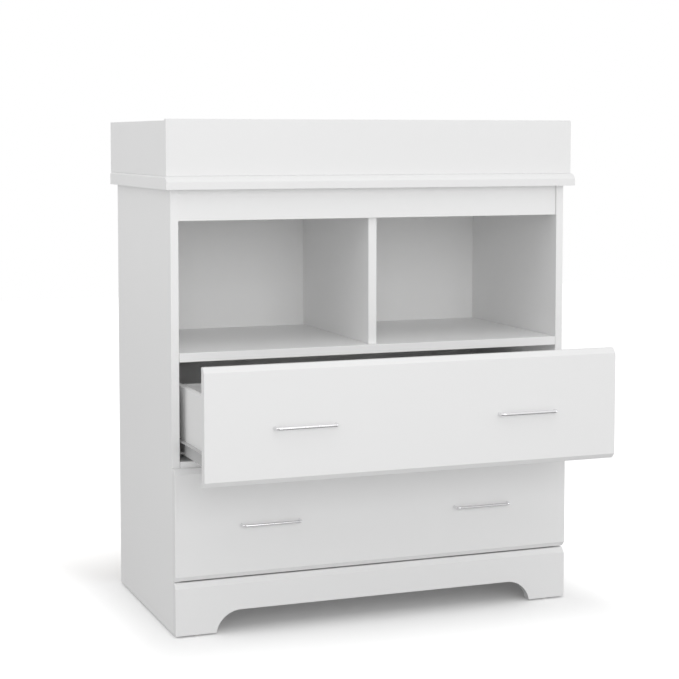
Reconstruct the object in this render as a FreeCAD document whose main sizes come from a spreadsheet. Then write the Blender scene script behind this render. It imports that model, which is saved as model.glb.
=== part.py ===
"""Changing table: two open cubbies over two full-width drawers, with a walled changing tray on top.

Frame: +Z up from the floor, +X to the user's right, the drawers open towards -Y. The origin is on
the floor, under the middle of the whole object with its upper drawer standing open.
Lengths are millimetres. The driving sizes are cells of the sheet named Sizes.
"""
import FreeCAD, Part
import math
import os
import re
import Sketcher

SIZES = [
    # carcass
    ("carcass_width", 860, "outside, over the two side panels"),
    ("carcass_depth", 434, "side panels, front edge to rear edge"),
    ("carcass_height", 883, "floor to the top edge of the side panels"),
    ("floor_lift", 3, "height of the glides under the boards"),
    ("panel_board", 16, "thickness of side panels, rails and bottom"),
    ("shelf_board", 18, "thickness of the shelf under the cubbies"),
    ("divider_board", 18, "thickness of the upright between the cubbies"),
    ("divider_setback", 15, "divider behind the carcass front"),
    ("top_rail_height", 62, "front rail under the deck"),
    ("top_rail_setback", 4, "top front rail behind the carcass front"),
    ("back_rail_height", 80, "rear rail that takes the wall fixing"),
    ("wall_hole_spacing", 400, "between the two wall fixing holes"),
    ("wall_hole", 5, "diameter of a wall fixing hole"),
    ("bottom_panel_top", 106, "floor to the top face of the bottom panel"),
    ("middle_rail_lap", 9, "middle rail above the upper front's lower edge"),
    ("middle_rail_depth", 70, "middle rail, front to back"),
    ("back_inset", 22, "back panel's front face ahead of the rear edges"),
    ("back_board", 3, "thickness of the back panel"),
    ("groove_depth", 6, "grooves that hold the thin boards"),
    ("groove_slack", 0.2, "groove wider than its board"),
    ("base_block", 32, "side of a square corner block under the bottom"),
    # apron and drawer fronts
    ("apron_height", 105, "foot to top edge"),
    ("foot_width", 83.5, "one foot of the apron, at its lower edge"),
    ("arch_height", 43, "arch above the apron's lower edge"),
    ("arch_radius", 52.3, "curve at each end of the arch"),
    ("front_height", 224, "one drawer front"),
    ("front_board", 18.5, "thickness of a drawer front"),
    ("front_gap", 3, "between the fronts, and over the apron"),
    ("closing_gap", 0.5, "shut front to the carcass"),
    ("bevel_height", 10, "bevel on the long edges of the fronts, up the face"),
    ("bevel_depth", 9, "the same bevel, into the board"),
    # deck and tray
    ("deck_board", 26, "thickness of the deck under the tray"),
    ("deck_front_reach", 24.5, "deck ahead of the carcass front"),
    ("deck_side_reach", 14.3, "deck beyond each side panel"),
    ("deck_back_reach", 5.5, "deck behind the carcass"),
    ("nose_height", 14.5, "upright part of the deck's front edge"),
    ("nose_radius", 19, "eased upper part of the deck's front edge"),
    ("nose_ledge", 13.5, "nose to the tray's front wall"),
    ("side_bevel", 3.3, "bevel along the deck's ends"),
    ("wall_board", 12, "thickness of the tray walls"),
    ("wall_height", 111, "front wall above the deck"),
    ("wall_drop", 3, "side and back walls lower than the front wall"),
    ("wall_corner", 5, "rounding of the back wall's upright corners"),
    # drawer boxes
    ("rest_opening", 207, "how far the upper drawer stands open"),
    ("drawer_travel", 300, "full travel on the runners"),
    ("drawer_board", 12, "thickness of the drawer sides and back"),
    ("drawer_side_height", 132, "drawer sides"),
    ("drawer_length", 400, "drawer sides, front to back"),
    ("drawer_back_drop", 18, "drawer back lower than the sides, at its top"),
    ("drawer_rise", 22, "drawer sides above the front's lower edge"),
    ("drawer_bottom_board", 3, "thickness of the drawer bottom"),
    ("drawer_bottom_rise", 12, "drawer bottom above the sides' lower edge"),
    # roller runners
    ("side_gap", 12.5, "side panel to drawer side, filled by the runners"),
    ("runner_steel", 1.2, "sheet thickness of the runners"),
    ("runner_setback", 2, "runners behind the edge they start from"),
    ("runner_length", 400, "cabinet member of a runner"),
    ("channel_bottom", 3.5, "channel's underside above the drawer side's lower edge"),
    ("channel_height", 21, "outside height of the channel"),
    ("channel_depth", 10.5, "channel flanges, out from the side panel"),
    ("channel_notch", 54, "upper flange cut back for the front roller"),
    ("member_height", 27, "drawer member above the drawer side's lower edge"),
    ("member_reach", 10, "upper flange of the drawer member"),
    ("member_screw_height", 19.2, "its screws above the drawer side's lower edge"),
    ("front_roller_radius", 10, "roller on the cabinet member"),
    ("rear_roller_radius", 9, "roller on the drawer member"),
    ("front_roller_height", 15.5, "its axis above the drawer side's lower edge"),
    ("rear_roller_height", 14, "its axis above the drawer side's lower edge"),
    ("roller_width", 7, "both rollers"),
    ("front_roller_inset", 40, "its axis from the front end of the cabinet member"),
    ("rear_roller_inset", 13, "its axis from the back end of the drawer member"),
    ("roller_bore", 4.1, "diameter"),
    ("roller_pin", 4, "diameter"),
    ("roller_recess", 1.8, "depth of the pocket for the pin's head"),
    ("pin_head", 1.2, "thickness"),
    ("pin_head_radius", 3.4, "riveted head of a roller pin"),
    # pulls
    ("pull_length", 128, "over the two legs"),
    ("pull_bar", 6, "diameter"),
    ("pull_reach", 17, "front face to the outside of the bar"),
    ("pull_bend", 8, "radius of the bar's centre line at the bends"),
    ("pull_inset", 134, "end of the front to the end of its pull"),
    ("pull_drop", 6.5, "pull below the middle of the front"),
    # fittings
    ("edge_round", 1, "softened edges of the boards"),
    ("peg_slack", 0.1, "hole wider than its peg, on the radius"),
    ("tip_slack", 0.5, "hole deeper than its peg"),
    ("cam_radius", 7.5, "cam lock"),
    ("cam_depth", 12.5, "cam lock"),
    ("cam_distance", 24, "cam axis from the end of its board"),
    ("cam_slot", 0.4, "clearance of the bolt in the cam"),
    ("bolt_thread", 10, "length of a cam bolt in the panel"),
    ("cam_edge", 50, "cam axis from the front or rear edge of a board"),
    ("dowel_radius", 4, "shelf and divider dowels"),
    ("small_dowel_radius", 3, "tray and drawer dowels"),
    ("bolt_thread_radius", 2.5, "cam bolt where it is screwed into the panel"),
    ("bolt_radius", 3, "cam bolt in its rail"),
    ("bolt_head_radius", 3.6, "end of the cam bolt that the cam grips"),
    ("bolt_head", 3.5, "length of that end"),
    ("glide_radius", 6.3, "nail-on floor glide"),
    ("glide_nail_radius", 1.3, "its nail"),
    ("glide_nail", 14, "length of its nail in the board"),
    ("glide_inset", 44, "glide axis from the side of the carcass"),
    ("screw_radius", 2, "screws of the base and tray"),
    ("screw_head_radius", 3.5, "their countersunk heads"),
    ("screw_head", 3, "height of those heads"),
    ("thin_screw_radius", 1.7, "screws of the drawers and runners"),
    ("flat_head_radius", 3.2, "heads of the runner screws"),
    ("nail_radius", 0.9, "nails of the back and the drawer bottoms"),
    ("nail_head_radius", 2.5, "their heads"),
    ("nail_head", 0.8, "thickness of those heads"),
    ("wall_dowel", 24, "length of a dowel in the tray's corners"),
    ("board_dowel", 28, "length of a dowel in the divider"),
    ("drawer_dowel", 26, "length of a dowel in a drawer front"),
]

doc = FreeCAD.newDocument("ChangingTable")
sheet = doc.addObject("Spreadsheet::Sheet", "Sizes")
for row, (alias, value, note) in enumerate(SIZES, 1):
    sheet.set(f"A{row}", alias)
    sheet.set(f"B{row}", str(value))
    sheet.set(f"C{row}", note)
    sheet.setAlias(f"B{row}", alias)
doc.recompute()

ALIASES = {alias for alias, value, note in SIZES}
AXES = {
    "+x": FreeCAD.Vector(1, 0, 0),
    "-x": FreeCAD.Vector(-1, 0, 0),
    "+y": FreeCAD.Vector(0, 1, 0),
    "-y": FreeCAD.Vector(0, -1, 0),
    "+z": FreeCAD.Vector(0, 0, 1),
    "-z": FreeCAD.Vector(0, 0, -1),
}
SIDES = {"left": -1, "right": 1}
nodes = []


# ---- making things from the sheet -------------------------------------------------------------

def formula(text):
    """An expression with each alias read from the sheet."""
    return re.sub(r"[a-z_]+", lambda word: "Sizes." + word[0] if word[0] in ALIASES else word[0], str(text))


def bind(thing, values):
    for path, text in values.items():
        thing.setExpression(path, formula(text))
    return thing


def place(thing, corner):
    return bind(thing, {f"Placement.Base.{axis}": text for axis, text in zip("xyz", corner)})


def finish(label, thing):
    """Name a finished sub-part. The label becomes its file's name."""
    thing.Label = label
    nodes.append(thing)
    return thing


def block(name, corner, size):
    box = doc.addObject("Part::Box", name)
    bind(box, dict(zip(("Length", "Width", "Height"), size)))
    return place(box, corner)


def soften(name, base, radius="edge_round", chosen=lambda edge: True):
    """Round the chosen edges of a board by the same radius."""
    base.recompute(True)
    size = sheet.get(radius)
    softened = doc.addObject("Part::Fillet", name)
    softened.Base = base
    softened.Edges = [(i, size, size) for i, edge in enumerate(base.Shape.Edges, 1) if chosen(edge)]
    return softened


def board(name, corner, size):
    """A plain board with softened edges."""
    return soften(name + "_softened", block(name + "_blank", corner, size))


def shift(point, direction, distance):
    """The point moved along one of the six directions."""
    sign, axis = direction
    return tuple(
        f"{text} {sign} ({distance})" if name == axis else text for name, text in zip("xyz", point)
    )


def rod(name, point, direction, radius, length):
    cylinder = doc.addObject("Part::Cylinder", name)
    turn = FreeCAD.Rotation(FreeCAD.Vector(0, 0, 1), AXES[direction])
    cylinder.Placement = FreeCAD.Placement(FreeCAD.Vector(), turn)
    bind(cylinder, {"Radius": radius, "Height": length})
    return place(cylinder, point)


def gather(name, things, kind="Part::Compound"):
    group = doc.addObject(kind, name)
    if kind == "Part::Compound":
        group.Links = things
    else:
        group.Shapes = things
    return group


def peg(name, point, direction, steps, slack=None):
    """A stack of cylinders along one line; with a slack it is the hole that such a peg needs."""
    pieces = []
    for number, (radius, length) in enumerate(steps):
        last = number == len(steps) - 1
        wide = f"{radius} + {slack}" if slack else radius
        long = f"{length} + tip_slack" if slack and last else length
        pieces.append(rod(f"{name}_{number}", point, direction, wide, long))
        point = shift(point, direction, length)
    return pieces[0] if len(pieces) == 1 else gather(name, pieces, "Part::MultiFuse")


class Joinery:
    """Pegs of one kind, with the holes that they need in the boards they join."""

    def __init__(self):
        self.holes = {}
        self.groups = {}

    def hole(self, boards, tool):
        for name in boards:
            self.holes.setdefault(name, []).append(tool)

    def add(self, group, boards, point, direction, steps):
        number = len(self.groups.setdefault(group, []))
        self.groups[group].append(peg(f"{group}_{number}", point, direction, steps))
        self.hole(boards, peg(f"{group}_{number}_hole", point, direction, steps, "peg_slack"))

    def cam(self, rail, panel, face, inward, opening, reach):
        """A cam lock in the end of a rail, drawn up on a bolt in the panel it meets.

        face is the point where the bolt crosses the joint, inward points along the rail, and the
        cam drops in from the rail's own face, reach away from the bolt in the opening direction.
        """
        number = len(self.groups.setdefault("cam_bolts", []))
        outward = ("-" if inward[0] == "+" else "+") + inward[1]
        inside = ("-" if opening[0] == "+" else "+") + opening[1]
        start = shift(face, outward, "bolt_thread")
        steps = [("bolt_thread_radius", "bolt_thread"), ("bolt_radius", "cam_distance - bolt_head"),
                 ("bolt_head_radius", "bolt_head")]
        centre = shift(face, inward, "cam_distance")
        mouth = shift(centre, opening, reach)
        name = f"cam_{number}"
        self.groups["cam_bolts"].append(peg(f"{name}_bolt", start, inward, steps))
        self.hole([rail, panel], peg(f"{name}_bolt_hole", start, inward, steps, "peg_slack"))
        self.hole([rail], rod(f"{name}_pocket", mouth, inside, "cam_radius + peg_slack",
                              "cam_depth + tip_slack"))
        barrel = rod(f"{name}_barrel", mouth, inside, "cam_radius", "cam_depth")
        slot = peg(f"{name}_slot", start, inward, steps, "cam_slot")
        driver = rod(f"{name}_driver", mouth, inside, "cam_radius / 3", "cam_depth / 6")
        self.groups.setdefault("cam_locks", []).append(cut(name, barrel, [slot, driver]))

    def machined(self, label, base):
        """The finished board: its blank less every hole it needs."""
        return finish(label, cut(label, base, self.holes[label]) if label in self.holes else base)


def cut(name, base, tools):
    result = doc.addObject("Part::Cut", name + "_cut")
    result.Base = base
    result.Tool = tools[0] if len(tools) == 1 else gather(name + "_tools", tools)
    return result


def outline(body, name, role, points, arcs=()):
    """A closed sketch on an origin plane. Each corner is bound to the sheet; an arc names the
    corner it starts from, its radius and its centre."""
    sketch = body.newObject("Sketcher::SketchObject", name)
    plane = [feature for feature in body.Origin.OriginFeatures if feature.Role == role][0]
    sketch.AttachmentSupport = [(plane, "")]
    sketch.MapMode = "FlatFace"
    values = [[measure(text) for text in point] for point in points]
    corners = [FreeCAD.Vector(x, y, 0) for x, y in values]
    rounds = {start: (radius, [measure(text) for text in centre]) for start, radius, centre in arcs}
    for i, corner in enumerate(corners):
        following = corners[(i + 1) % len(corners)]
        if i in rounds:
            sketch.addGeometry(short_arc(corner, following, FreeCAD.Vector(*rounds[i][1], 0)), False)
        else:
            sketch.addGeometry(Part.LineSegment(corner, following), False)
    ends = [tie_ends(sketch, i, corners) for i in range(len(corners))]
    for i, (point, value) in enumerate(zip(points, values)):
        for kind, text, number in zip(("DistanceX", "DistanceY"), point, value):
            index = sketch.addConstraint(Sketcher.Constraint(kind, -1, 1, i, ends[i][0], number))
            sketch.setExpression(f"Constraints[{index}]", formula(text))
    for start, (radius, centre) in rounds.items():
        index = sketch.addConstraint(Sketcher.Constraint("Radius", start, measure(radius)))
        sketch.setExpression(f"Constraints[{index}]", formula(radius))
    for i in range(len(corners)):
        after = (i + 1) % len(corners)
        sketch.addConstraint(Sketcher.Constraint("Coincident", i, ends[i][1], after, ends[after][0]))
    return sketch


def short_arc(first, last, centre):
    """The arc of less than half a turn between two points, anticlockwise as a sketch wants it."""
    if (first - centre).cross(last - centre).z < 0:
        first, last = last, first
    angles = [math.atan2(point.y - centre.y, point.x - centre.x) for point in (first, last)]
    if angles[1] < angles[0]:
        angles[1] += 2 * math.pi
    circle = Part.Circle(centre, FreeCAD.Vector(0, 0, 1), (first - centre).Length)
    return Part.ArcOfCircle(circle, *angles)


def tie_ends(sketch, index, corners):
    """Which ends of a sketch edge lie on its first and second corner; an arc may run backwards."""
    first = sketch.Geometry[index].StartPoint
    return (1, 2) if first.distanceToPoint(corners[index]) < 1e-6 else (2, 1)


def measure(text):
    """The present value of an expression, read through a cell of the sheet."""
    sheet.set("E1", "=" + re.sub(r"Sizes\.", "", formula(text)))
    sheet.recompute(True)
    return float(sheet.get("E1"))


def extrude(label, role, points, length, corner, arcs=(), both=False, backwards=False):
    """A body made from one outline carried along its normal."""
    body = doc.addObject("PartDesign::Body", label + "_body")
    sketch = outline(body, label + "_outline", role, points, arcs)
    pad = body.newObject("PartDesign::Pad", label + "_pad")
    pad.Profile = sketch
    pad.Midplane = both
    pad.Reversed = backwards
    bind(pad, {"Length": length})
    sketch.Visibility = False
    return place(body, corner)


# ---- planes that several pieces share ---------------------------------------------------------

half_width = "(carcass_width / 2)"
inner_half = "(carcass_width / 2 - panel_board)"
inner_width = "(carcass_width - 2 * panel_board)"
back_reach = "(carcass_depth + deck_back_reach + wall_board)"
front_reach = "(rest_opening + front_board + closing_gap + pull_reach)"
front = f"(({front_reach} - {back_reach}) / 2)"
back_face = f"({front} + carcass_depth - back_inset)"
apron_top = "(floor_lift + apron_height)"
fronts_from = {
    "lower": f"({apron_top} + front_gap)",
    "upper": f"({apron_top} + 2 * front_gap + front_height)",
}
openings = {"lower": "0", "upper": "rest_opening"}
shelf_top = f"({apron_top} + 2 * (front_gap + front_height))"
deck_top = "(carcass_height + deck_board)"
joinery = Joinery()


# ---- carcass ----------------------------------------------------------------------------------

blanks = {}
for side, sign in SIDES.items():
    outer = f"-{half_width}" if sign < 0 else inner_half
    name = f"{side}_side_panel"
    blanks[name] = board(name, (outer, front, "floor_lift"),
                         ("panel_board", "carcass_depth", "carcass_height - floor_lift"))
    groove = block(f"{side}_groove", (f"{sign} * {inner_half} - ({1 - sign}) / 2 * groove_depth",
                                      f"{back_face} - groove_slack / 2", "0"),
                   ("groove_depth", "back_board + groove_slack", "carcass_height + 1"))
    joinery.hole([name], groove)

rail_left = f"-{inner_half}"
blanks["cubby_shelf"] = board(
    "cubby_shelf", (rail_left, front, f"{shelf_top} - shelf_board"),
    (inner_width, "carcass_depth - back_inset", "shelf_board"))
blanks["bottom_panel"] = board(
    "bottom_panel", (rail_left, front, "bottom_panel_top - panel_board"),
    (inner_width, "carcass_depth - back_inset", "panel_board"))
middle_rail_top = f"({fronts_from['upper']} + middle_rail_lap)"
blanks["middle_rail"] = board(
    "middle_rail", (rail_left, front, f"{middle_rail_top} - panel_board"),
    (inner_width, "middle_rail_depth", "panel_board"))
blanks["top_front_rail"] = board(
    "top_front_rail", (rail_left, f"{front} + top_rail_setback", "carcass_height - top_rail_height"),
    (inner_width, "panel_board", "top_rail_height"))
back_rail_front = f"({back_face} + back_board)"
blanks["top_back_rail"] = board(
    "top_back_rail", (rail_left, back_rail_front, "carcass_height - back_rail_height"),
    (inner_width, "panel_board", "back_rail_height"))
base_rail_front = f"({back_face} - panel_board)"
base_height = "(bottom_panel_top - panel_board - floor_lift)"
blanks["base_back_rail"] = board(
    "base_back_rail", (rail_left, base_rail_front, "floor_lift"),
    (inner_width, "panel_board", base_height))

# The divider stands on the shelf and is notched round the top front rail.
divider_left = "(-divider_board / 2)"
divider_front = f"({front} + divider_setback)"
divider_depth = "(carcass_depth - back_inset - divider_setback)"
blanks["cubby_divider"] = board(
    "cubby_divider", (divider_left, divider_front, shelf_top),
    ("divider_board", divider_depth, f"carcass_height - {shelf_top}"))
rail_back = "(top_rail_setback + panel_board)"
joinery.hole(["cubby_divider"], block(
    "divider_notch", (f"{divider_left} - 1", f"{divider_front} - 1", "carcass_height - top_rail_height"),
    ("divider_board + 2", f"{rail_back} - divider_setback + 1", "top_rail_height + 1")))

blanks["back_panel"] = block(
    "back_panel_blank", (f"-{inner_half} - groove_depth + groove_slack", back_face,
                   "bottom_panel_top - panel_board"),
    (f"{inner_width} + 2 * (groove_depth - groove_slack)", "back_board",
     "carcass_height - bottom_panel_top + panel_board"))

# Square blocks stiffen the corners of the base and carry the rear glides.
blocks = []
for side, sign in SIDES.items():
    across = f"{sign} * {inner_half} - ({1 + sign}) / 2 * base_block"
    for place_name, along in (("front", front), ("rear", f"{base_rail_front} - base_block")):
        blocks.append(block(f"{side}_{place_name}_block", (across, along, "floor_lift"),
                            ("base_block", "base_block", base_height)))
blanks["corner_blocks"] = gather("corner_blocks_blank", blocks)


# ---- apron and drawer fronts ------------------------------------------------------------------

def front_board_body(label, height, corner, lower_bevel):
    """A front board, seen from its end: flat back, bevelled long edges. Its corner is its back face."""
    depth = "(front_board + closing_gap)" if label == "base_apron" else "front_board"
    bottom = ([(f"-{depth} + bevel_depth", "0"), (f"-{depth}", "bevel_height")] if lower_bevel
              else [(f"-{depth}", "0")])
    points = [("0", "0"), *bottom, (f"-{depth}", f"{height} - bevel_height"),
              (f"-{depth} + bevel_depth", height), ("0", height)]
    body = extrude(label, "YZ_Plane", points, "carcass_width", corner, both=True)
    return soften(label + "_softened", body)


apron = front_board_body("base_apron", "apron_height", ("0", front, "floor_lift"), False)
arch_half = "(carcass_width / 2 - foot_width)"
arch_run = "sqrt(2 * arch_radius * arch_height - arch_height ^ 2)"
arch_flat = f"({arch_half} - {arch_run})"
arch_points = [(f"-{arch_half}", "0"), (f"-{arch_flat}", "arch_height"),
               (arch_flat, "arch_height"), (arch_half, "0"),
               (arch_half, "-5"), (f"-{arch_half}", "-5")]
arch_arcs = [(0, "arch_radius", (f"-{arch_flat}", "arch_height - arch_radius")),
             (2, "arch_radius", (arch_flat, "arch_height - arch_radius"))]
arch = extrude("arch", "XZ_Plane", arch_points, "4 * front_board", ("0", front, "floor_lift"),
               arch_arcs, both=True)
joinery.hole(["base_apron"], arch)
blanks["base_apron"] = apron

rest_planes = {}
for drawer in ("upper", "lower"):
    rest_planes[drawer] = f"({front} - closing_gap - {openings[drawer]})"
    name = f"{drawer}_drawer_front"
    corner = ("0", rest_planes[drawer], fronts_from[drawer])
    blanks[name] = front_board_body(name, "front_height", corner, True)


# ---- deck and changing tray -------------------------------------------------------------------

# Seen from its end the deck has an upright nose, an eased shoulder and a flat top.
shoulder_run = "nose_ledge"
shoulder_rise = "(deck_board - nose_height)"
chord = f"sqrt({shoulder_run} ^ 2 + {shoulder_rise} ^ 2)"
sag = f"(sqrt(nose_radius ^ 2 - ({chord} / 2) ^ 2))"
shoulder_centre = (
    f"-deck_front_reach + {shoulder_run} / 2 + {sag} * {shoulder_rise} / {chord}",
    f"nose_height + {shoulder_rise} / 2 - {sag} * {shoulder_run} / {chord}")
deck_depth = "(carcass_depth + deck_back_reach)"
deck_points = [("-deck_front_reach", "0"), (deck_depth, "0"), (deck_depth, "deck_board"),
               ("-deck_front_reach + nose_ledge", "deck_board"), ("-deck_front_reach", "nose_height")]
deck_body = extrude("top_panel", "YZ_Plane", deck_points, "carcass_width + 2 * deck_side_reach",
                    ("0", front, "carcass_height"), [(3, "nose_radius", shoulder_centre)], both=True)
deck_body.recompute(True)


def on_deck_end(edge):
    """Whether an edge runs front to back along the top of one end of the deck."""
    first, last = [vertex.Point for vertex in edge.Vertexes][:2]
    top = sheet.get("deck_board")
    return abs(first.x - last.x) < 0.01 and abs(first.z - top) < 0.01 and abs(last.z - top) < 0.01


deck_pad = deck_body.Tip
end_bevel = deck_body.newObject("PartDesign::Chamfer", "deck_end_bevel")
end_bevel.Base = (deck_pad, [f"Edge{i}" for i, edge in enumerate(deck_pad.Shape.Edges, 1)
                             if on_deck_end(edge)])
bind(end_bevel, {"Size": "side_bevel"})
deck_body.Tip = end_bevel
blanks["top_panel"] = deck_body

wall_half = "(carcass_width / 2 + deck_side_reach - side_bevel)"
wall_front = f"({front} - deck_front_reach + nose_ledge)"
wall_back = f"({front} + carcass_depth + deck_back_reach)"
low_wall = "(wall_height - wall_drop)"
blanks["tray_front_wall"] = board(
    "tray_front_wall", (f"-{wall_half}", wall_front, deck_top),
    (f"2 * {wall_half}", "wall_board", "wall_height"))
for side, sign in SIDES.items():
    across = f"{sign} * {wall_half} - ({1 + sign}) / 2 * wall_board"
    blanks[f"tray_{side}_wall"] = board(
        f"tray_{side}_wall", (across, f"{wall_front} + wall_board", deck_top),
        ("wall_board", f"{wall_back} - {wall_front} - wall_board", low_wall))
# The back wall stands behind the deck and is screwed to its rear edge.
back_wall = block("tray_back_wall_blank", (f"-{wall_half}", wall_back, "carcass_height"),
                  (f"2 * {wall_half}", "wall_board", f"deck_board + {low_wall}"))
back_wall.recompute(True)
outer_face = back_wall.Shape.BoundBox.YMax
blanks["tray_back_wall"] = soften(
    "tray_back_wall_softened", back_wall, "wall_corner",
    lambda edge: edge.BoundBox.ZLength > 1 and abs(edge.BoundBox.YMax - outer_face) < 1e-6)


# ---- joints between the boards ----------------------------------------------------------------

tray_screw = [("screw_head_radius", "screw_head"), ("screw_radius", "deck_board + 14")]
panel_nail = [("nail_head_radius", "nail_head"), ("nail_radius", "20")]
for side, sign in SIDES.items():
    panel = f"{side}_side_panel"
    joint = f"{sign} * {inner_half}"
    inward = "-x" if sign > 0 else "+x"
    toward = "+x" if sign > 0 else "-x"
    flat_boards = (
        ("cubby_shelf", f"{shelf_top} - shelf_board / 2", "shelf_board / 2",
         (f"{front} + cam_edge", f"{back_face} - cam_edge")),
        ("bottom_panel", "bottom_panel_top - panel_board / 2", "panel_board / 2",
         (f"{front} + 2 * cam_edge", f"{back_face} - 2 * cam_edge")),
        ("middle_rail", f"{middle_rail_top} - panel_board / 2", "panel_board / 2",
         (f"{front} + middle_rail_depth / 2",)),
    )
    for name, height, reach, places in flat_boards:
        for along in places:
            joinery.cam(name, panel, (joint, along, height), inward, "-z", reach)
    half_board = "panel_board / 2"
    joinery.cam("top_front_rail", panel,
                (joint, f"{front} + top_rail_setback + {half_board}",
                 "carcass_height - top_rail_height / 2"), inward, "+y", half_board)
    joinery.cam("top_back_rail", panel,
                (joint, f"{back_rail_front} + {half_board}", "carcass_height - back_rail_height / 2"),
                inward, "+y", half_board)
    joinery.cam("base_back_rail", panel,
                (joint, f"{base_rail_front} + {half_board}", f"floor_lift + {base_height} / 2"),
                inward, "+y", half_board)
    # The deck is held down by bolts in its underside, with the cams in the side panels.
    for along in (f"{front} + 2 * cam_edge", f"{back_face} - 2 * cam_edge"):
        joinery.cam(panel, "top_panel", (f"{joint} + {sign} * {half_board}", along, "carcass_height"),
                    "-z", inward, half_board)
    # Screws through the base blocks into the side panel and the apron.
    level = f"floor_lift + {base_height} / 2"
    for along in (f"{front} + base_block / 2", f"{base_rail_front} - base_block / 2"):
        start = (f"{joint} - {sign} * base_block", along, level)
        joinery.add("block_screws", ["corner_blocks", panel], start, toward,
                    [("screw_head_radius", "screw_head"), ("screw_radius", "base_block + 6")])
    joinery.add("block_screws", ["corner_blocks", "base_apron"],
                (f"{joint} - {sign} * base_block / 2", f"{front} + base_block", f"{level} + 20"), "-y",
                [("screw_head_radius", "screw_head"), ("screw_radius", "base_block + 7")])
    # Dowels line up the corners of the tray.
    across = f"{sign} * ({wall_half} - wall_board / 2)"
    for up in (0.27, 0.72):
        level = f"{deck_top} + {up} * wall_height"
        joinery.add("dowels", ["tray_front_wall", f"tray_{side}_wall"],
                    (across, f"{wall_front} + wall_board / 3", level), "+y",
                    [("small_dowel_radius", "wall_dowel")])
        joinery.add("dowels", ["tray_back_wall", f"tray_{side}_wall"],
                    (across, f"{wall_back} + 2 / 3 * wall_board", level), "-y",
                    [("small_dowel_radius", "wall_dowel")])
    for share in (0.23, 0.74):
        joinery.add("tray_screws", ["top_panel", f"tray_{side}_wall"],
                    (across, f"{front} + {share} * carcass_depth", "carcass_height"), "+z", tray_screw)

for share in (-0.84, -0.28, 0.28, 0.84):
    joinery.add("tray_screws", ["top_panel", "tray_front_wall"],
                (f"{share} * {half_width}", f"{wall_front} + wall_board / 2", "carcass_height"), "+z",
                tray_screw)
    joinery.add("tray_screws", ["tray_back_wall", "top_panel"],
                (f"{share} * {half_width}", f"{wall_back} + wall_board", "carcass_height + deck_board / 2"),
                "-y", [("screw_head_radius", "screw_head"), ("screw_radius", "wall_board + 23")])
board_pin = [("dowel_radius", "board_dowel")]
for along in (f"{divider_front} + cam_edge", f"{back_face} - cam_edge"):
    joinery.add("dowels", ["cubby_shelf", "cubby_divider"], ("0", along, f"{shelf_top} - 10"), "+z",
                board_pin)
    joinery.add("dowels", ["cubby_divider", "top_panel"], ("0", along, "carcass_height - 16"), "+z",
                board_pin)
for share in (-0.84, -0.42, 0, 0.42, 0.84):
    for name, height in (("cubby_shelf", f"{shelf_top} - shelf_board / 2"),
                         ("bottom_panel", "bottom_panel_top - panel_board / 2")):
        joinery.add("back_panel_nails", ["back_panel", name],
                    (f"{share} * {half_width}", f"{back_face} + back_board + nail_head", height), "-y",
                    panel_nail)
for sign in (-1, 1):
    tool = rod(f"wall_hole_{sign + 1}", (f"{sign} * wall_hole_spacing / 2", f"{back_rail_front} - 1",
                                         "carcass_height - back_rail_height / 2"),
               "+y", "wall_hole / 2", "panel_board + 2")
    joinery.hole(["top_back_rail"], tool)

# Nail-on glides: the front pair under the apron's feet, the rear pair under the rear blocks.
for side, sign in SIDES.items():
    glide_steps = [("glide_radius", "floor_lift"), ("glide_nail_radius", "glide_nail")]
    apron_middle = f"{front} - (front_board + closing_gap) / 2"
    joinery.add("floor_glides", ["base_apron"],
                (f"{sign} * ({half_width} - glide_inset)", apron_middle, "0"), "+z", glide_steps)
    joinery.add("floor_glides", ["corner_blocks"],
                (f"{sign} * ({inner_half} - base_block / 2)", f"{base_rail_front} - base_block / 2", "0"),
                "+z", glide_steps)


# ---- roller runners ---------------------------------------------------------------------------

def channel_points(sign):
    """Cabinet member, seen from the front: a channel that opens towards the drawer."""
    top = "(channel_bottom + channel_height)"
    corners = [("0", "channel_bottom"), ("channel_depth", "channel_bottom"),
               ("channel_depth", "channel_bottom + runner_steel"),
               ("runner_steel", "channel_bottom + runner_steel"),
               ("runner_steel", f"{top} - runner_steel"), ("channel_depth", f"{top} - runner_steel"),
               ("channel_depth", top), ("0", top)]
    return [(f"{-sign} * ({out})", up) for out, up in corners]


def member_points(sign):
    """Drawer member: a lip under the drawer side, a web beside it and a flange over the roller."""
    web = "(side_gap - runner_steel)"
    corners = [(web, "-runner_steel"), ("side_gap + drawer_board", "-runner_steel"),
               ("side_gap + drawer_board", "0"), ("side_gap", "0"), ("side_gap", "member_height"),
               ("side_gap - member_reach", "member_height"),
               ("side_gap - member_reach", "member_height - runner_steel"),
               (web, "member_height - runner_steel")]
    return [(f"{-sign} * ({out})", up) for out, up in corners]


def roller(label, centre, sign, radius, near, head_inside):
    """A nylon roller on its side. near is its face nearest the side panel."""
    toward_drawer = "-x" if sign > 0 else "+x"
    start = shift(centre, toward_drawer, near)
    rim = rod(label + "_rim", start, toward_drawer, radius, "roller_width")
    bore = rod(label + "_bore", shift(start, toward_drawer, "-1"), toward_drawer, "roller_bore / 2",
               "roller_width + 2")
    recess_at = "roller_width - roller_recess" if head_inside else "-1"
    recess = rod(label + "_recess", shift(start, toward_drawer, recess_at), toward_drawer,
                 "pin_head_radius + 0.3", "roller_recess + 1")
    finish(label, cut(label, soften(label + "_rim_softened", rim), [bore, recess]))


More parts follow.
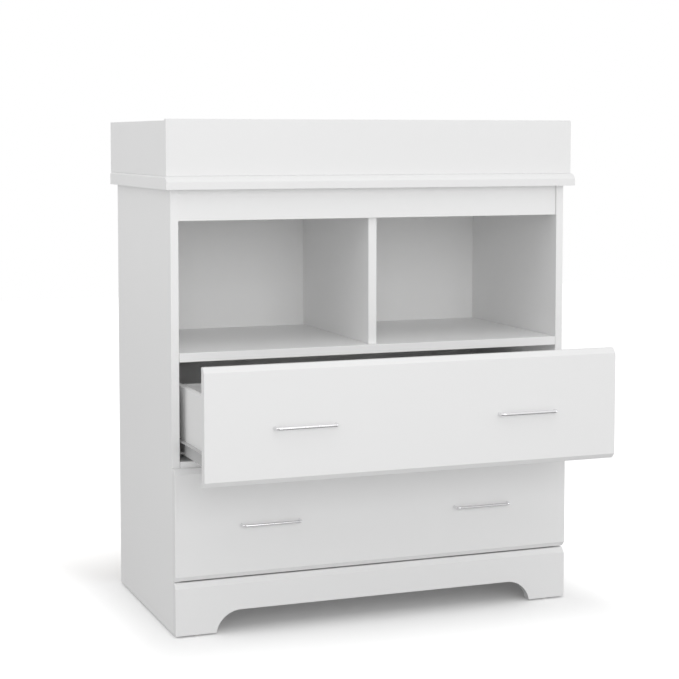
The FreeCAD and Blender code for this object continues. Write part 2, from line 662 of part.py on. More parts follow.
for drawer in ("upper", "lower"):
    level = f"({fronts_from[drawer]} + drawer_rise)"
    start = f"({front} + runner_setback)"
    drawer_start = rest_planes[drawer]
    for side, sign in SIDES.items():
        panel = f"{side}_side_panel"
        face = f"{sign} * {inner_half}"
        toward_panel = "+x" if sign > 0 else "-x"
        toward_drawer = "-x" if sign > 0 else "+x"
        name = f"{drawer}_{side}_cabinet_runner"
        blanks[name] = extrude(name, "XZ_Plane", channel_points(sign), "runner_length", (face, start, level),
                               backwards=True)
        notch_left = f"{face} - ({1 + sign}) / 2 * (channel_depth + 1) + ({-sign}) * runner_steel"
        joinery.hole([name], block(
            name + "_notch",
            (notch_left, f"{start} - 1", f"{level} + channel_bottom + channel_height - 2 * runner_steel"),
            ("channel_depth + 1", "channel_notch + 1", "3 * runner_steel")))
        for share in (0.04, 0.5, 0.9):
            joinery.add("runner_fixings", [name, panel],
                        (f"{face} - {sign} * (runner_steel + 1.4)", f"{start} + {share} * runner_length",
                         f"{level} + rear_roller_height"), toward_panel,
                        [("flat_head_radius", "1.4"), ("thin_screw_radius", "13")])
        name = f"{drawer}_drawer_{side}_runner"
        member_start = f"{drawer_start} + runner_setback"
        blanks[name] = extrude(name, "XZ_Plane", member_points(sign), "drawer_length - runner_setback",
                               (face, member_start, level), backwards=True)
        web_face = f"{face} - {sign} * (side_gap - runner_steel)"
        for share in (0.15, 0.52, 0.85):
            joinery.add(f"{drawer}_drawer_fixings", [name, f"{drawer}_drawer_{side}_side"],
                        (f"{web_face} + {sign} * 1.2", f"{drawer_start} + {share} * drawer_length",
                         f"{level} + member_screw_height"), toward_drawer,
                        [("flat_head_radius", "1.2"), ("thin_screw_radius", "11")])
        # front roller on the cabinet member, rear roller on the drawer member
        front_axis = (face, f"{start} + front_roller_inset", f"{level} + front_roller_height")
        near_front = "(runner_steel + 1)"
        roller(f"{drawer}_{side}_front_roller", front_axis, sign, "front_roller_radius", near_front,
               True)
        head = f"({near_front} + roller_width - roller_recess + 0.2 + pin_head)"
        joinery.groups.setdefault("runner_fixings", []).append(peg(
            f"{drawer}_{side}_front_pin", shift(front_axis, toward_drawer, head), toward_panel,
            [("pin_head_radius", "pin_head"), ("roller_pin / 2", f"{head} - pin_head - runner_steel")]))
        rear_axis = (face, f"{drawer_start} + drawer_length - rear_roller_inset",
                     f"{level} + rear_roller_height")
        near_rear = "(side_gap - runner_steel - 1 - roller_width)"
        roller(f"{drawer}_{side}_rear_roller", rear_axis, sign, "rear_roller_radius", near_rear, False)
        head = f"({near_rear} + roller_recess - 0.2 - pin_head)"
        joinery.groups.setdefault(f"{drawer}_drawer_fixings", []).append(peg(
            f"{drawer}_{side}_rear_pin", shift(rear_axis, toward_drawer, head), toward_drawer,
            [("pin_head_radius", "pin_head"),
             ("roller_pin / 2", f"side_gap - runner_steel - {head} - pin_head")]))


# ---- drawer boxes -----------------------------------------------------------------------------

box_half = "(carcass_width / 2 - panel_board - side_gap)"
for drawer in ("upper", "lower"):
    level = f"({fronts_from[drawer]} + drawer_rise)"
    start = rest_planes[drawer]
    front_name = f"{drawer}_drawer_front"
    back_name = f"{drawer}_drawer_back"
    group = f"{drawer}_drawer_fixings"
    box_end = f"({start} + drawer_length)"
    bottom_level = f"({level} + drawer_bottom_rise)"
    back_height = "(drawer_side_height - drawer_back_drop - drawer_bottom_rise - drawer_bottom_board)"
    back_level = f"({bottom_level} + drawer_bottom_board)"
    blanks[back_name] = board(
        back_name, (f"-{box_half} + drawer_board", f"{box_end} - drawer_board", back_level),
        (f"2 * ({box_half} - drawer_board)", "drawer_board", back_height))
    grip = "(groove_depth - groove_slack)"
    bottom_name = f"{drawer}_drawer_bottom"
    blanks[bottom_name] = block(
        bottom_name + "_blank", (f"-{box_half} + drawer_board - {grip}", f"{start} - {grip}", bottom_level),
        (f"2 * ({box_half} - drawer_board + {grip})", f"drawer_length + {grip}", "drawer_bottom_board"))
    joinery.hole([front_name, f"{drawer}_drawer_left_side", f"{drawer}_drawer_right_side"], block(
        f"{drawer}_drawer_groove",
        (f"-{box_half} + drawer_board - groove_depth", f"{start} - groove_depth",
         f"{bottom_level} - groove_slack / 2"),
        (f"2 * ({box_half} - drawer_board + groove_depth)", "drawer_length + groove_depth + 1",
         "drawer_bottom_board + groove_slack")))
    for side, sign in SIDES.items():
        name = f"{drawer}_drawer_{side}_side"
        across = f"{sign} * {box_half} - ({1 + sign}) / 2 * drawer_board"
        blanks[name] = board(name, (across, start, level),
                             ("drawer_board", "drawer_length", "drawer_side_height"))
        toward_drawer = "-x" if sign > 0 else "+x"
        middle = f"{sign} * ({box_half} - drawer_board / 2)"
        for up in (0.3, 0.7):
            joinery.add(group, [name, back_name],
                        (f"{sign} * {box_half}", f"{box_end} - drawer_board / 2",
                         f"{level} + {up} * drawer_side_height"), toward_drawer,
                        [("screw_head_radius", "2.5"), ("thin_screw_radius", "drawer_board + 20")])
        for up in (0.3, 0.85):
            joinery.add(f"{drawer}_drawer_dowels", [name, front_name],
                        (middle, f"{start} - 11", f"{level} + {up} * drawer_side_height"), "+y",
                        [("small_dowel_radius", "drawer_dowel")])
    for share in (-0.7, -0.23, 0.23, 0.7):
        joinery.add(group, [bottom_name, back_name],
                    (f"{share} * {half_width}", f"{box_end} - drawer_board / 2",
                     f"{bottom_level} - nail_head"), "+z", panel_nail)

    # Bar pulls: a bar bent back at both ends onto the front, with a screw from inside in each leg.
    bar = "pull_bar / 2"
    face = f"({start} - front_board)"
    pull_level = f"({fronts_from[drawer]} + front_height / 2 - pull_drop)"
    leg_length = "(pull_reach - pull_bar / 2 - pull_bend)"
    for side, sign in SIDES.items():
        name = f"{drawer}_{side}_pull"
        middle = f"{sign} * ({half_width} - pull_inset - pull_length / 2)"
        span = "(pull_length / 2 - pull_bar / 2)"
        pieces = [rod(name + "_bar", (f"{middle} - {span} + pull_bend", f"{face} - pull_reach + {bar}",
                                      pull_level), "+x", bar, f"2 * ({span} - pull_bend)")]
        for end, turn in ((-1, 180), (1, 270)):
            leg = (f"{middle} + {end} * {span}", face, pull_level)
            pieces.append(rod(f"{name}_leg_{end + 1}", leg, "-y", bar, leg_length))
            bend = doc.addObject("Part::Torus", f"{name}_bend_{end + 1}")
            bend.Placement = FreeCAD.Placement(FreeCAD.Vector(),
                                               FreeCAD.Rotation(FreeCAD.Vector(0, 0, 1), turn))
            bind(bend, {"Radius1": "pull_bend", "Radius2": bar, "Angle3": "90"})
            place(bend, (f"{middle} + {end} * ({span} - pull_bend)", f"{face} - {leg_length}",
                         pull_level))
            pieces.append(bend)
            joinery.add(group, [front_name, name], shift(leg, "+y", "front_board + 1.6"), "-y",
                        [("screw_head_radius", "1.6"),
                         ("thin_screw_radius", f"front_board + {leg_length} - 1")])
        blanks[name] = gather(name + "_bent", pieces, "Part::MultiFuse")


# ---- finish, check and write ------------------------------------------------------------------

for label, blank in blanks.items():
    joinery.machined(label, blank)
for label, pegs in joinery.groups.items():
    finish(label, gather(label, pegs))

# At full travel a drawer's rear rollers are still behind the front ones, on their channels.
run = measure("drawer_length - front_roller_inset - rear_roller_inset - runner_setback - drawer_travel")
if run < measure("front_roller_radius + rear_roller_radius"):
    raise RuntimeError("the rear rollers meet the front ones before full travel")

doc.recompute()
faults = [item.Name for item in doc.Objects if {"Invalid", "Error"} & set(item.State)]
if faults:
    raise RuntimeError(f"failed objects: {faults}")
for item in nodes:
    if item.Shape.isNull() or not item.Shape.isValid() or not item.Shape.Solids:
        raise RuntimeError(f"bad shape: {item.Label}")
os.makedirs("parts", exist_ok=True)
for item in nodes:
    item.Shape.exportStep(f"parts/{item.Label}.step")
print(len(nodes), "sub-parts,", sum(len(item.Shape.Solids) for item in nodes), "solids")
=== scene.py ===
import math

import bpy
import numpy as np
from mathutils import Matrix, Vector


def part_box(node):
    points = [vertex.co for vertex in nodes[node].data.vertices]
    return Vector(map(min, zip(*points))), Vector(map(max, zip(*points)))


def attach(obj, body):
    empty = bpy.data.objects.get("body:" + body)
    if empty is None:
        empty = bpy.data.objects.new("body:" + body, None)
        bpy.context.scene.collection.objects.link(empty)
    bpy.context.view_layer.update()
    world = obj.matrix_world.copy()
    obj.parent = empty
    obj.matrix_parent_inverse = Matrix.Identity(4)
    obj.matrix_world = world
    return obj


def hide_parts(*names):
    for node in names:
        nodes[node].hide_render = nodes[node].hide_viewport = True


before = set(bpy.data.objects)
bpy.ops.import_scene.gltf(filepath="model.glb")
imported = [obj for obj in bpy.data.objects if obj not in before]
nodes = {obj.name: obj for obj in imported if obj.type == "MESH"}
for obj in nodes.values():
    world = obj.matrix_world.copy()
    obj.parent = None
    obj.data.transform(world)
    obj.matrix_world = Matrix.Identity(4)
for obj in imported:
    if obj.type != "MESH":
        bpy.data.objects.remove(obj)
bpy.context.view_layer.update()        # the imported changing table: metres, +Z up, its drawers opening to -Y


# ---- The camera -------------------------------------------------------------------------------
# A long lens stands in front of the table and to its left, level with the tray, and tips down a
# little. A small rise of the lens keeps the uprights of the carcass nearly parallel.
camera = bpy.data.objects.new("camera", bpy.data.cameras.new("camera"))
bpy.context.scene.collection.objects.link(camera)
camera.location = (-1.30297, -3.31153, 0.98061)
camera.rotation_euler = (math.radians(85.8955), 0, math.radians(-20.802))
camera.data.sensor_width = 36
camera.data.lens = 90.327
camera.data.shift_x = 0.00445
camera.data.shift_y = -0.115
bpy.context.scene.camera = camera
bpy.context.scene.view_settings.view_transform = "Standard"


# ---- The studio -------------------------------------------------------------------------------
# A pale paper floor that runs out into a white surround, with a large soft lamp in front, weaker
# ones to the sides, above and low down, and an even glow all round. A dark card lies in front,
# level with the lower pulls: only gloss shows it, as the dark line under the upper pulls.
def put(tree, kind, sockets=(), **settings):
    """A new shader node. A socket is given a plain value, or the output that it is linked to."""
    node = tree.nodes.new(kind)
    for name, value in settings.items():
        setattr(node, name, value)
    for name, value in dict(sockets).items():
        if isinstance(value, bpy.types.NodeSocket):
            tree.links.new(value, node.inputs[name])
        else:
            node.inputs[name].default_value = value
    return node


def maths(tree, operation, *values, **settings):
    """A Math node on one to three values or outputs; gives its output."""
    return put(tree, "ShaderNodeMath", dict(enumerate(values)), operation=operation, **settings).outputs[0]


def between(tree, share, low, high):
    """A number that goes from low to high as the share goes from 0 to 1."""
    return put(tree, "ShaderNodeMapRange", {"Value": share, "To Min": low, "To Max": high}).outputs[0]


def grey(level):
    return (level, level, level, 1)


def soft_lamp(name, place, aim, width, height, power):
    """A rectangular lamp that faces the point it is aimed at, and isn't seen itself."""
    lamp = bpy.data.objects.new(name, bpy.data.lights.new(name, "AREA"))
    lamp.data.shape = "RECTANGLE"
    lamp.data.size, lamp.data.size_y, lamp.data.energy = width, height, power
    lamp.location = place
    lamp.rotation_euler = (Vector(aim) - Vector(place)).to_track_quat("-Z", "Y").to_euler()
    lamp.visible_camera = False
    bpy.context.scene.collection.objects.link(lamp)


def sheet_of(name, low_x, low_y, high_x, high_y, level):
    """A flat rectangle of the studio at one height, facing up."""
    mesh = bpy.data.meshes.new(name)
    mesh.from_pydata([(low_x, low_y, level), (high_x, low_y, level), (high_x, high_y, level),
                      (low_x, high_y, level)], [], [(0, 1, 2, 3)])
    flat = bpy.data.objects.new(name, mesh)
    bpy.context.scene.collection.objects.link(flat)
    return flat


# The surround is white to the eye and in gloss, and gives the boards a softer glow.
surround = bpy.data.worlds.new("surround")
surround.use_nodes = True
bpy.context.scene.world = surround
air = surround.node_tree
air.nodes.clear()
ray = put(air, "ShaderNodeLightPath")
shown = maths(air, "MAXIMUM", ray.outputs["Is Camera Ray"], ray.outputs["Is Glossy Ray"])
glow = put(air, "ShaderNodeBackground", {"Color": grey(1), "Strength": between(air, shown, 0.63, 1.0)})
put(air, "ShaderNodeOutputWorld", {"Surface": glow.outputs[0]})

middle = (0, 0, 0.5)
soft_lamp("lamp_front", (-0.5, -5.0, 1.9), middle, 4.0, 2.0, 53)
soft_lamp("lamp_right", (4.0, -1.0, 1.3), middle, 2.5, 2.4, 16)
soft_lamp("lamp_over_front", (0, -2.0, 3.0), middle, 3.0, 2.0, 10)
soft_lamp("lamp_left", (-4.0, 0, 1.3), middle, 2.5, 2.4, 7)
soft_lamp("lamp_high_left", (-2.5, -0.5, 2.8), middle, 2.0, 2.0, 5)
soft_lamp("lamp_low_front", (-0.2, -2.2, 0.16), (0, 0, 0.1), 1.6, 0.24, 1.0)

pull_low, pull_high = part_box("lower_left_pull")
card = sheet_of("dark_card", -0.5, -0.49, 0.5, -0.33, (pull_low.z + pull_high.z) / 2)
card.visible_camera = card.visible_diffuse = card.visible_shadow = False
card_black = bpy.data.materials.new("card_black")
card_black.use_nodes = True
card_black.node_tree.nodes["Principled BSDF"].inputs["Base Color"].default_value = grey(0.05)
card.data.materials.append(card_black)

# The paper throws back part of the light that falls on it, but to the eye it is shown whiter, with a
# painted glow added that grows with the distance from the table's foot, and faster beside it than in
# front, until the paper meets the surround: close to the foot the weaker glow is a painted shade.
# From below the paper is clear, and shows the table's underside.
foot_low, foot_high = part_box("left_side_panel")[0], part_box("right_side_panel")[1]
faster_beside, rounding = 2.2, 0.2
fade_from, fade_to = -0.08, 0.45
least_added, most_added = 0.1, 0.5
floor_paper = bpy.data.materials.new("floor_paper")
floor_paper.use_nodes = True
paper = floor_paper.node_tree
paper.nodes.clear()
spot = put(paper, "ShaderNodeSeparateXYZ", {0: put(paper, "ShaderNodeTexCoord").outputs["Object"]})
beside = maths(paper, "SUBTRACT", maths(paper, "ABSOLUTE", spot.outputs["X"]), foot_high.x)
ahead = maths(paper, "SUBTRACT", foot_low.y, spot.outputs["Y"])
behind = maths(paper, "SUBTRACT", spot.outputs["Y"], foot_high.y)
reach = maths(paper, "SMOOTH_MAX", maths(paper, "MULTIPLY", beside, faster_beside),
              maths(paper, "MAXIMUM", ahead, behind), rounding)
fade = put(paper, "ShaderNodeMapRange", {"Value": reach, "From Min": fade_from, "From Max": fade_to,
           "To Min": least_added, "To Max": most_added}, interpolation_type="SMOOTHSTEP").outputs[0]
# Painted glow and painted shade: for the eye alone the paper is paler and lights up, less so close to the
# foot.
eye = put(paper, "ShaderNodeLightPath").outputs["Is Camera Ray"]
matt = put(paper, "ShaderNodeBsdfDiffuse", {"Color": between(paper, eye, 0.67, 0.95)})
painted_glow = put(paper, "ShaderNodeEmission", {"Color": grey(1), "Strength": maths(paper, "MULTIPLY", fade, eye)})
upper_side = put(paper, "ShaderNodeAddShader", {0: matt.outputs[0], 1: painted_glow.outputs[0]})
from_below = put(paper, "ShaderNodeNewGeometry").outputs["Backfacing"]
clear = put(paper, "ShaderNodeBsdfTransparent")
both_sides = put(paper, "ShaderNodeMixShader", {0: from_below, 1: upper_side.outputs[0],
                 2: clear.outputs[0]})
put(paper, "ShaderNodeOutputMaterial", {"Surface": both_sides.outputs[0]})
floor_half, floor_level = 7.0, -0.0003
floor = sheet_of("floor", -floor_half, -floor_half, floor_half, floor_half, floor_level)
floor.data.materials.append(floor_paper)


# ---- Painted fronts, apron, deck and tray -----------------------------------------------------
# Fibreboard, routed to its bevels, sealed and sprayed with satin white paint. The paint keeps a
# faint orange peel, dries a shade unevenly, and along the edges is a little lighter: partly where it
# is rubbed thin, partly a painted highlight.
def effect(name, inputs, outputs):
    """An empty node group with those sockets; gives its tree, its input node and its output node."""
    tree = bpy.data.node_groups.new(name, "ShaderNodeTree")
    for label, kind, value in inputs:
        tree.interface.new_socket(label, in_out="INPUT", socket_type=kind).default_value = value
    for label, kind in outputs:
        tree.interface.new_socket(label, in_out="OUTPUT", socket_type=kind)
    return tree, tree.nodes.new("NodeGroupInput"), tree.nodes.new("NodeGroupOutput")


def noise(tree, where, scale, detail=2.0, roughness=0.5, distortion=0.0):
    return put(tree, "ShaderNodeTexNoise", {"Vector": where, "Scale": scale, "Detail": detail,
               "Roughness": roughness, "Distortion": distortion}).outputs["Fac"]


def tint(tree, share, first, second):
    """A colour that goes from the first to the second as the share goes from 0 to 1."""
    node = put(tree, "ShaderNodeMix", data_type="RGBA")
    tree.links.new(share, node.inputs[0])
    for socket, value in ((node.inputs[6], first), (node.inputs[7], second)):
        if isinstance(value, bpy.types.NodeSocket):
            tree.links.new(value, socket)
        else:
            socket.default_value = value
    return node.outputs[2]


# Edges: how far the surface just around a point turns away from the face it is on, broken up. On
# the white boards their edge colour is lighter, so this mask lays a painted highlight as well as wear.
edges, edges_in, edges_out = effect(
    "edge_wear_and_highlight",
    [("Reach", "NodeSocketFloat", 0.0015), ("Wear", "NodeSocketFloat", 0.5),
     ("Size", "NodeSocketFloat", 90.0)],
    [("Mask", "NodeSocketFloat")])
rounded = put(edges, "ShaderNodeBevel", {"Radius": edges_in.outputs["Reach"]}, samples=6)
face = put(edges, "ShaderNodeNewGeometry")
alike = put(edges, "ShaderNodeVectorMath", {0: rounded.outputs[0], 1: face.outputs["True Normal"]},
            operation="DOT_PRODUCT").outputs["Value"]
steepness, cover = 5.0, 1.6
turned = maths(edges, "MULTIPLY", maths(edges, "SUBTRACT", 1.0, alike), steepness, use_clamp=True)
where = put(edges, "ShaderNodeTexCoord").outputs["Object"]
patchy = noise(edges, where, edges_in.outputs["Size"], 4.0, 0.7)
worn = maths(edges, "MULTIPLY", patchy, cover, use_clamp=True)
edges.links.new(maths(edges, "MULTIPLY", maths(edges, "MULTIPLY", turned, worn), edges_in.outputs["Wear"]),
                edges_out.inputs["Mask"])

# Film: the unevenness of a sprayed or rolled coat, in its colour, its gloss and its surface.
film, film_in, film_out = effect(
    "paint_film",
    [("Colour", "NodeSocketColor", grey(0.8)), ("Shade", "NodeSocketColor", grey(0.78)),
     ("Gloss Low", "NodeSocketFloat", 0.34), ("Gloss High", "NodeSocketFloat", 0.46),
     ("Peel", "NodeSocketFloat", 420.0), ("Depth", "NodeSocketFloat", 0.00002)],
    [("Colour", "NodeSocketColor"), ("Roughness", "NodeSocketFloat"), ("Normal", "NodeSocketVector")])
where = put(film, "ShaderNodeTexCoord").outputs["Object"]
clouds = noise(film, where, 5.0, 4.0, 0.55)
flecks = noise(film, where, 160.0, 3.0, 0.6)
mottle = maths(film, "ADD", maths(film, "MULTIPLY", clouds, 0.7), maths(film, "MULTIPLY", flecks, 0.3))
film.links.new(tint(film, mottle, film_in.outputs["Colour"], film_in.outputs["Shade"]),
               film_out.inputs["Colour"])
smears = noise(film, where, 11.0, 5.0, 0.6, 0.4)
film.links.new(between(film, smears, film_in.outputs["Gloss Low"], film_in.outputs["Gloss High"]),
               film_out.inputs["Roughness"])
peel = noise(film, where, film_in.outputs["Peel"], 2.0, 0.45)
grit = noise(film, where, 2600.0, 1.0, 0.5)
relief = maths(film, "ADD", peel, maths(film, "MULTIPLY", grit, 0.15))
ripple = put(film, "ShaderNodeBump", {"Height": relief, "Distance": film_in.outputs["Depth"]})
ripple.inputs["Strength"].default_value = 1.0
film.links.new(ripple.outputs["Normal"], film_out.inputs["Normal"])


def painted(name, colour, shade, gloss, peel_size, depth, wear, bare, over=None):
    """A coated board: the film, with the edge colour along its edges: what is under it where they are
    rubbed, and where that colour is lighter than the film, a painted highlight as well.

    Over, if it is given, is a function that works out a mask in the tree, and the colour that
    lies over the film there.
    """
    paint = bpy.data.materials.new(name)
    paint.use_nodes = True
    tree = paint.node_tree
    tree.nodes.clear()
    coating = put(tree, "ShaderNodeGroup", node_tree=film)
    for label, value in (("Colour", colour), ("Shade", shade), ("Gloss Low", gloss[0]),
                         ("Gloss High", gloss[1]), ("Peel", peel_size), ("Depth", depth)):
        coating.inputs[label].default_value = value
    worn_and_lit_edges = put(tree, "ShaderNodeGroup", node_tree=edges)
    worn_and_lit_edges.inputs["Wear"].default_value = wear
    surface = tint(tree, worn_and_lit_edges.outputs["Mask"], coating.outputs["Colour"], bare)
    if over:
        mask, colour_over = over
        surface = tint(tree, mask(tree), surface, colour_over)
    shader = put(tree, "ShaderNodeBsdfPrincipled", {
        "Base Color": surface, "Roughness": coating.outputs["Roughness"],
        "Normal": coating.outputs["Normal"]})
    put(tree, "ShaderNodeOutputMaterial", {"Surface": shader.outputs[0]})
    return paint


def dress(material, *names):
    """Gives those CAD pieces the material."""
    for name in names:
        mesh = nodes[name].data
        mesh.materials.clear()
        mesh.materials.append(material)


# The edge colour is lighter than the film: along the edges a painted highlight as well as wear.
satin_white = painted("satin_white", colour=grey(0.9), shade=grey(0.885), gloss=(0.32, 0.44),
                      peel_size=420.0, depth=0.00002, wear=0.3, bare=(0.94, 0.94, 0.935, 1))
dress(satin_white, "upper_drawer_front", "lower_drawer_front", "base_apron", "top_panel",
      "tray_front_wall", "tray_back_wall", "tray_left_wall", "tray_right_wall")


# ---- Carcass boards ---------------------------------------------------------------------------
# Particle board faced with a white foil and edged with thin banding, in flat boards: the sides,
# the shelf, the divider, the rails and the bottom. The foil is duller and smoother than paint, and
# a board that butts against the sides gets a fine line of painted shade at each of its ends, for
# the shadow in the joint.
# Painted shade: a thin band at each end of a board, where the shadow in the joint falls.
joint, joint_in, joint_out = effect(
    "joint_shade", [("End", "NodeSocketFloat", 0.4), ("Gap", "NodeSocketFloat", 0.0006)],
    [("Mask", "NodeSocketFloat")])
place = put(joint, "ShaderNodeSeparateXYZ", {0: put(joint, "ShaderNodeTexCoord").outputs["Object"]})
from_end = maths(joint, "SUBTRACT", joint_in.outputs["End"], maths(joint, "ABSOLUTE", place.outputs["X"]))
joint.links.new(maths(joint, "LESS_THAN", from_end, joint_in.outputs["Gap"]), joint_out.inputs["Mask"])


def joint_shade_lines(tree):
    """The mask of the painted shade lines at the joints at the ends of a board as long as the top front rail.
    """
    lines = put(tree, "ShaderNodeGroup", node_tree=joint)
    lines.inputs["End"].default_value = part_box("top_front_rail")[1].x
    return lines.outputs["Mask"]


# The foil's edge colour is lighter than its face: along the edges a painted highlight as well as wear.
foil = {"colour": grey(0.94), "shade": (0.928, 0.928, 0.926, 1), "gloss": (0.4, 0.52), "peel_size": 900.0,
        "depth": 0.00001, "wear": 0.25, "bare": (0.96, 0.96, 0.955, 1)}
foil_white = painted("foil_white", **foil)
# Over the film at the board's ends goes a dark grey: painted shade in the joints.
foil_joint_shaded = painted("foil_joint_shaded", **foil, over=(joint_shade_lines, (0.45, 0.45, 0.44, 1)))
dress(foil_white, "left_side_panel", "right_side_panel", "cubby_divider")
dress(foil_joint_shaded, "cubby_shelf", "top_front_rail", "top_back_rail", "middle_rail", "bottom_panel",
      "base_back_rail")


# ---- Drawer boxes -----------------------------------------------------------------------------
# Two sides and a back of thinner particle board, wrapped in a matt white paper foil. The back is
# screwed in between the sides, and glued dowels join the sides to the painted front.
drawers, sides = ("upper", "lower"), ("left", "right")
wrapped_board = painted("wrapped_board", colour=grey(0.9), shade=(0.89, 0.89, 0.886, 1), gloss=(0.5, 0.62),
                        peel_size=1300.0, depth=0.00001, wear=0.2, bare=(0.85, 0.85, 0.84, 1))
dress(wrapped_board, *[f"{drawer}_drawer_{board}" for drawer in drawers
                       for board in ("left_side", "right_side", "back")])


# ---- Back panel and drawer bottoms ------------------------------------------------------------
# Thin hardboard, painted white. The side of the back panel that stands to the wall is left brown,
# with loose fibres and the print of the wire screen it was pressed on.
hardboard = painted("hardboard", colour=(0.96, 0.96, 0.957, 1), shade=(0.945, 0.945, 0.942, 1),
                    gloss=(0.45, 0.58), peel_size=700.0, depth=0.00002, wear=0.2, bare=(0.7, 0.66, 0.6, 1))
tree = hardboard.node_tree
shader = tree.nodes["Principled BSDF"]
white_side = shader.inputs["Base Color"].links[0].from_socket
smooth_side = shader.inputs["Normal"].links[0].from_socket
facing = put(tree, "ShaderNodeSeparateXYZ", {0: put(tree, "ShaderNodeNewGeometry").outputs["True Normal"]})
raw = maths(tree, "GREATER_THAN", facing.outputs["Y"], 0.5)
where = put(tree, "ShaderNodeTexCoord").outputs["Object"]
lying = put(tree, "ShaderNodeMapping", {"Vector": where, "Scale": (90.0, 90.0, 500.0)}).outputs[0]
fibres = noise(tree, lying, 1.0, 5.0, 0.65, 0.8)
blotches = noise(tree, where, 9.0, 3.0, 0.6)
brown = tint(tree, maths(tree, "MULTIPLY_ADD", fibres, 0.6, maths(tree, "MULTIPLY", blotches, 0.4)),
             (0.27, 0.19, 0.125, 1), (0.43, 0.33, 0.235, 1))
tree.links.new(tint(tree, raw, white_side, brown), shader.inputs["Base Color"])
wires = [put(tree, "ShaderNodeTexWave", {"Vector": where, "Scale": 260.0},
             bands_direction=way).outputs["Fac"] for way in ("X", "Z")]
screen_print = maths(tree, "MULTIPLY", maths(tree, "MULTIPLY", *wires), raw)
pressed = put(tree, "ShaderNodeBump", {"Height": screen_print, "Distance": 0.00012, "Normal": smooth_side})
tree.links.new(pressed.outputs["Normal"], shader.inputs["Normal"])
tree.links.new(between(tree, raw, 0.5, 0.8), shader.inputs["Roughness"])
dress(hardboard, "back_panel", "upper_drawer_bottom", "lower_drawer_bottom")


# ---- Wooden blocks and dowels -----------------------------------------------------------------
# Plain beech: square blocks glued and screwed in the corners of the base, and turned dowels. The
# grain is fine streaks along the piece with short dark flecks in them.
def beech_flecks(tree):
    """A mask of short flecks: noise drawn out along the height, of which only the peaks count."""
    where = put(tree, "ShaderNodeTexCoord").outputs["Object"]
    along = put(tree, "ShaderNodeMapping", {"Vector": where, "Scale": (900.0, 900.0, 110.0)}).outputs[0]
    return put(tree, "ShaderNodeMapRange", {"Value": noise(tree, along, 1.0, 3.0, 0.6), "From Min": 0.52,
               "From Max": 0.68, "To Max": 0.55}).outputs[0]


beech = painted("beech", colour=(0.60, 0.42, 0.25, 1), shade=(0.48, 0.32, 0.18, 1), gloss=(0.55, 0.7),
                peel_size=700.0, depth=0.00003, wear=0.2, bare=(0.62, 0.47, 0.31, 1),
                over=(beech_flecks, (0.36, 0.22, 0.12, 1)))
dress(beech, "corner_blocks", "dowels", "upper_drawer_dowels", "lower_drawer_dowels")


# ---- Runners, rollers and floor glides --------------------------------------------------------
# Pressed steel channels with a pale baked enamel, and small nylon rollers on riveted pins. The
# glides under the feet are moulded from the same nylon.
enamel = painted("runner_enamel", colour=grey(0.53), shade=grey(0.5), gloss=(0.2, 0.3), peel_size=500.0,
                 depth=0.00002, wear=0.5, bare=(0.45, 0.45, 0.46, 1))
dress(enamel, *[f"{drawer}_{side}_cabinet_runner" for drawer in drawers for side in sides],
      *[f"{drawer}_drawer_{side}_runner" for drawer in drawers for side in sides])
nylon = painted("nylon", colour=(0.78, 0.77, 0.74, 1), shade=(0.74, 0.73, 0.7, 1), gloss=(0.35, 0.45),
                peel_size=600.0, depth=0.00001, wear=0.2, bare=(0.85, 0.84, 0.8, 1))
dress(nylon, "floor_glides", *[f"{drawer}_{side}_{end}_roller" for drawer in drawers for side in sides
                               for end in ("front", "rear")])


# ---- Screws, bolts, cams and nails ------------------------------------------------------------
# Screws, nails and cam bolts of zinc-plated steel, and cams die-cast in zinc that is left dull. The
# cams sit in holes in the boards and draw the bolts of the next board tight.
def metal(name, colour, shade, gloss, stain_size):
    """Bare metal whose colour and gloss vary a little, in stains of one size and finer smears."""
    bare = bpy.data.materials.new(name)
    bare.use_nodes = True
    tree = bare.node_tree
    tree.nodes.clear()
    where = put(tree, "ShaderNodeTexCoord").outputs["Object"]
    stains = noise(tree, where, stain_size, 4.0, 0.6)
    smears = noise(tree, where, stain_size * 3, 3.0)
    shader = put(tree, "ShaderNodeBsdfPrincipled", {
        "Base Color": tint(tree, stains, colour, shade), "Metallic": 1.0,
        "Roughness": between(tree, smears, *gloss)})
    put(tree, "ShaderNodeOutputMaterial", {"Surface": shader.outputs[0]})
    return bare


zinc_plate = metal("zinc_plate", colour=(0.62, 0.62, 0.63, 1), shade=(0.5, 0.5, 0.52, 1), gloss=(0.25, 0.4),
                   stain_size=200.0)
cast_zinc = metal("cast_zinc", colour=(0.5, 0.5, 0.51, 1), shade=(0.4, 0.4, 0.41, 1), gloss=(0.4, 0.55),
                  stain_size=260.0)
dress(zinc_plate, "cam_bolts", "back_panel_nails", "tray_screws", "block_screws", "runner_fixings",
      "upper_drawer_fixings", "lower_drawer_fixings")
dress(cast_zinc, "cam_locks")


# ---- Pulls ------------------------------------------------------------------------------------
# A round steel bar bent back at both ends, polished and chrome plated. A screw through the drawer
# front holds each of its two legs.
def bent_bar(low, high, bend):
    """The centre line of a pull in x and y, from its box: leg, quarter turn, bar, quarter turn, leg.

    On the first turn x = left + bend (1 - cos t) and y = out + bend (1 - sin t), as t goes from 0
    to a right angle. The second turn is the same seen in a mirror.
    """
    leg_points, turn_points, bar_points = 6, 17, 25
    radius = (high.z - low.z) / 2
    left, right, out, face = low.x + radius, high.x - radius, low.y + radius, high.y
    turn = np.linspace(0, math.pi / 2, turn_points)
    line = np.concatenate([
        np.stack([np.full(leg_points, left), np.linspace(face, out + bend, leg_points)], -1),
        np.stack([left + bend - bend * np.cos(turn), out + bend - bend * np.sin(turn)], -1)[1:],
        np.stack([np.linspace(left + bend, right - bend, bar_points), np.full(bar_points, out)], -1)[1:],
        np.stack([right - bend + bend * np.sin(turn), out + bend - bend * np.cos(turn)], -1)[1:],
        np.stack([np.full(leg_points, right), np.linspace(out + bend, face, leg_points)], -1)[1:]])
    return line, radius, (low.z + high.z) / 2


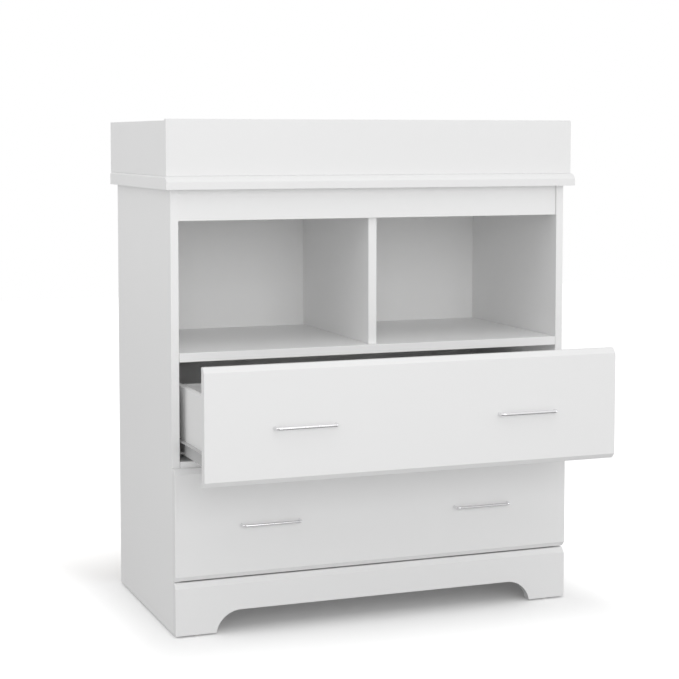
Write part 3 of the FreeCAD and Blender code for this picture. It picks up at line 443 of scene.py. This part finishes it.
def tube_rings(line, radius, level, around=32):
    """Rings round a level line: line + radius (cos a) across, at height level + radius (sin a).

    Across is the line's direction turned by a right angle, and a goes once round.
    """
    along = np.gradient(line, axis=0)
    along /= np.linalg.norm(along, axis=1)[:, None]
    across = np.stack([along[:, 1], -along[:, 0]], -1)
    angle = np.linspace(0, 2 * math.pi, around, endpoint=False)
    flat = line[:, None, :] + radius * np.cos(angle)[None, :, None] * across[:, None, :]
    height = np.broadcast_to(level + radius * np.sin(angle), flat.shape[:2])
    return np.concatenate([flat, height[..., None]], -1)


def skin(name, rings, material):
    """A closed tube through rings of points.

    Each face joins two neighbours on a ring to the same two on the next ring, and a fan about the
    mean of the first and of the last ring closes that end.
    """
    count, around = rings.shape[:2]
    points = np.concatenate([rings.reshape(-1, 3), rings[0].mean(0)[None], rings[-1].mean(0)[None]])
    row, column = np.meshgrid(np.arange(count - 1), np.arange(around), indexing="ij")
    after = (column + 1) % around
    quads = np.stack([row * around + column, row * around + after,
                      (row + 1) * around + after, (row + 1) * around + column], -1).reshape(-1, 4)
    ring = np.arange(around)
    following = (ring + 1) % around
    first = np.stack([following, ring, np.full(around, count * around)], -1)
    last = np.stack([ring + (count - 1) * around, following + (count - 1) * around,
                     np.full(around, count * around + 1)], -1)
    mesh = bpy.data.meshes.new(name)
    mesh.from_pydata(points.tolist(), [], quads.tolist() + first.tolist() + last.tolist())
    mesh.materials.append(material)
    mesh.polygons.foreach_set("use_smooth", [True] * len(quads) + [False] * 2 * around)
    mesh.update()
    piece = bpy.data.objects.new(name, mesh)
    bpy.context.scene.collection.objects.link(piece)
    return piece


pull_bend = 0.008
chrome = metal("polished_chrome", colour=(0.86, 0.86, 0.87, 1), shade=(0.8, 0.8, 0.81, 1),
               gloss=(0.06, 0.12), stain_size=120.0)
for drawer in drawers:
    for side in sides:
        name = f"{drawer}_{side}_pull"
        bar = skin(f"{name}_bar", tube_rings(*bent_bar(*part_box(name), pull_bend)), chrome)
        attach(bar, f"{drawer}_drawer")
        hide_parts(name)
